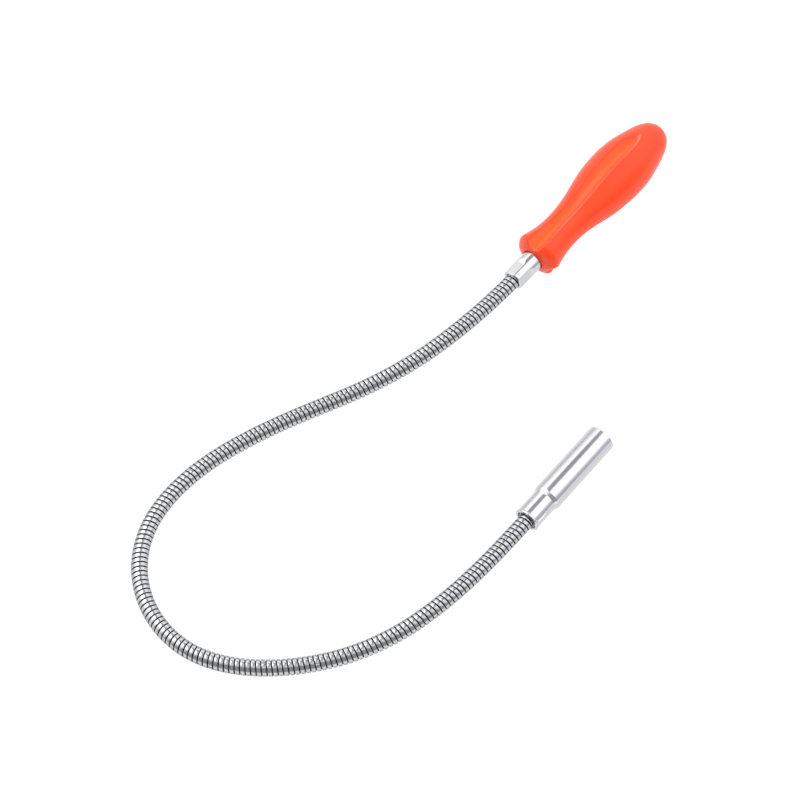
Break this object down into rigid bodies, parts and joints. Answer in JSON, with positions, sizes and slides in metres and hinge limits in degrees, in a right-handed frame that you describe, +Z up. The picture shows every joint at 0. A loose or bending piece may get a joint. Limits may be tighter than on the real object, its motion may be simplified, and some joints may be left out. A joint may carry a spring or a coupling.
{
  "type": "flexible magnetic pickup tool",
  "caption": "Hand tool with a fluted plastic handle, a bendable two-wire gooseneck that holds its shape, and a stepped tubular head with a magnet in its tip.",
  "frame": {"origin": "on the bench under the middle of the tool's bounding box, as it lies in its rest bend", "axes": "+Z up from the bench; +Y along the longer side of the lying tool, with the handle at +Y; +X to the right"},
  "size_m": [0.2312, 0.2652, 0.0269],
  "materials": {
    "handle_plastic": "satin",
    "outer_wire_chrome": "polished",
    "inner_spring_steel": "satin",
    "ferrule_chrome": "polished",
    "housing_chrome": "polished",
    "magnet_nickel": "satin",
    "plug_steel": "satin",
    "collar_steel": "satin"
  },
  "bodies": {
    "handle_end": {"handle": "handle_plastic", "handle_ferrule": "ferrule_chrome", "outer_coil_00": "outer_wire_chrome", "inner_coil_00": "inner_spring_steel"},
    "arm_01": {"outer_coil_01": "outer_wire_chrome", "inner_coil_01": "inner_spring_steel"},
    "arm_02": {"outer_coil_02": "outer_wire_chrome", "inner_coil_02": "inner_spring_steel"},
    "arm_03": {"outer_coil_03": "outer_wire_chrome", "inner_coil_03": "inner_spring_steel"},
    "arm_04": {"outer_coil_04": "outer_wire_chrome", "inner_coil_04": "inner_spring_steel"},
    "arm_05": {"outer_coil_05": "outer_wire_chrome", "inner_coil_05": "inner_spring_steel"},
    "arm_06": {"outer_coil_06": "outer_wire_chrome", "inner_coil_06": "inner_spring_steel"},
    "arm_07": {"outer_coil_07": "outer_wire_chrome", "inner_coil_07": "inner_spring_steel"},
    "arm_08": {"outer_coil_08": "outer_wire_chrome", "inner_coil_08": "inner_spring_steel"},
    "arm_09": {"outer_coil_09": "outer_wire_chrome", "inner_coil_09": "inner_spring_steel"},
    "arm_10": {"outer_coil_10": "outer_wire_chrome", "inner_coil_10": "inner_spring_steel"},
    "arm_11": {"outer_coil_11": "outer_wire_chrome", "inner_coil_11": "inner_spring_steel"},
    "arm_12": {"outer_coil_12": "outer_wire_chrome", "inner_coil_12": "inner_spring_steel"},
    "arm_13": {"outer_coil_13": "outer_wire_chrome", "inner_coil_13": "inner_spring_steel"},
    "arm_14": {"outer_coil_14": "outer_wire_chrome", "inner_coil_14": "inner_spring_steel"},
    "arm_15": {"outer_coil_15": "outer_wire_chrome", "inner_coil_15": "inner_spring_steel"},
    "arm_16": {"outer_coil_16": "outer_wire_chrome", "inner_coil_16": "inner_spring_steel"},
    "arm_17": {"outer_coil_17": "outer_wire_chrome", "inner_coil_17": "inner_spring_steel"},
    "arm_18": {"outer_coil_18": "outer_wire_chrome", "inner_coil_18": "inner_spring_steel"},
    "magnet_end": {"outer_coil_19": "outer_wire_chrome", "inner_coil_19": "inner_spring_steel", "magnet_housing": "housing_chrome", "magnet": "magnet_nickel", "backing_plug": "plug_steel", "hose_collar": "collar_steel"}
  },
  "joints": [
    {"name": "bend_side_01", "type": "hinge", "parent": "handle_end", "child": "arm_01", "pos_m": [0.03607, 0.04285, 0.0093], "axis": [0, 0, 1], "range_deg": [-27, 43]},
    {"name": "bend_lift_01", "type": "hinge", "parent": "arm_01", "child": "arm_02", "pos_m": [0.01944, 0.02849, 0.00819], "axis": [0.6534, -0.757, 0], "range_deg": [-47.32, 42.68]},
    {"name": "bend_side_02", "type": "hinge", "parent": "arm_02", "child": "arm_03", "pos_m": [0.00097, 0.01255, 0.00597], "axis": [0, 0, 1], "range_deg": [-30, 50]},
    {"name": "bend_lift_02", "type": "hinge", "parent": "arm_03", "child": "arm_04", "pos_m": [-0.02279, 0.00106, 0.00357], "axis": [0.4352, -0.9003, 0], "range_deg": [-39.8, 50.2]},
    {"name": "bend_side_03", "type": "hinge", "parent": "arm_04", "child": "arm_05", "pos_m": [-0.04665, -0.01047, 0.00357], "axis": [0, 0, 1], "range_deg": [-47, 28]},
    {"name": "bend_side_04", "type": "hinge", "parent": "arm_05", "child": "arm_06", "pos_m": [-0.06656, -0.02096, 0.00357], "axis": [0, 0, 1], "range_deg": [-39, 27]},
    {"name": "bend_side_05", "type": "hinge", "parent": "arm_06", "child": "arm_07", "pos_m": [-0.084, -0.03265, 0.00357], "axis": [0, 0, 1], "range_deg": [-43, 23]},
    {"name": "bend_side_06", "type": "hinge", "parent": "arm_07", "child": "arm_08", "pos_m": [-0.09916, -0.04718, 0.00357], "axis": [0, 0, 1], "range_deg": [-48.5, 17.5]},
    {"name": "bend_side_07", "type": "hinge", "parent": "arm_08", "child": "arm_09", "pos_m": [-0.10988, -0.06524, 0.00357], "axis": [0, 0, 1], "range_deg": [-57.5, 8.5]},
    {"name": "bend_lift_03", "type": "hinge", "parent": "arm_09", "child": "arm_10", "pos_m": [-0.11107, -0.07617, 0.00357], "axis": [-0.9942, 0.108, 0], "range_deg": [-33, 33]},
    {"name": "bend_side_08", "type": "hinge", "parent": "arm_10", "child": "arm_11", "pos_m": [-0.11226, -0.08711, 0.00357], "axis": [0, 0, 1], "range_deg": [-59.5, 6.5]},
    {"name": "bend_side_09", "type": "hinge", "parent": "arm_11", "child": "arm_12", "pos_m": [-0.1048, -0.10727, 0.00357], "axis": [0, 0, 1], "range_deg": [-58.5, 7.5]},
    {"name": "bend_side_10", "type": "hinge", "parent": "arm_12", "child": "arm_13", "pos_m": [-0.08975, -0.12191, 0.00357], "axis": [0, 0, -1], "range_deg": [-6.5, 59.5]},
    {"name": "bend_side_11", "type": "hinge", "parent": "arm_13", "child": "arm_14", "pos_m": [-0.06974, -0.1283, 0.00357], "axis": [0, 0, -1], "range_deg": [-17.5, 48.5]},
    {"name": "bend_side_12", "type": "hinge", "parent": "arm_14", "child": "arm_15", "pos_m": [-0.04875, -0.1291, 0.00357], "axis": [0, 0, -1], "range_deg": [-16, 54]},
    {"name": "bend_lift_04", "type": "hinge", "parent": "arm_15", "child": "arm_16", "pos_m": [-0.02674, -0.12246, 0.00357], "axis": [-0.289, 0.9573, 0], "range_deg": [-41.6, 48.4]},
    {"name": "bend_side_13", "type": "hinge", "parent": "arm_16", "child": "arm_17", "pos_m": [-0.00476, -0.11582, 0.00493], "axis": [0, 0, -1], "range_deg": [-20, 70]},
    {"name": "bend_lift_05", "type": "hinge", "parent": "arm_17", "child": "arm_18", "pos_m": [0.0131, -0.09985, 0.00636], "axis": [-0.6665, 0.7455, 0], "range_deg": [-48.4, 41.6]},
    {"name": "bend_side_14", "type": "hinge", "parent": "arm_18", "child": "magnet_end", "pos_m": [0.03174, -0.08319, 0.00636], "axis": [0, 0, -1], "range_deg": [-36.5, 53.5]}
  ]
}
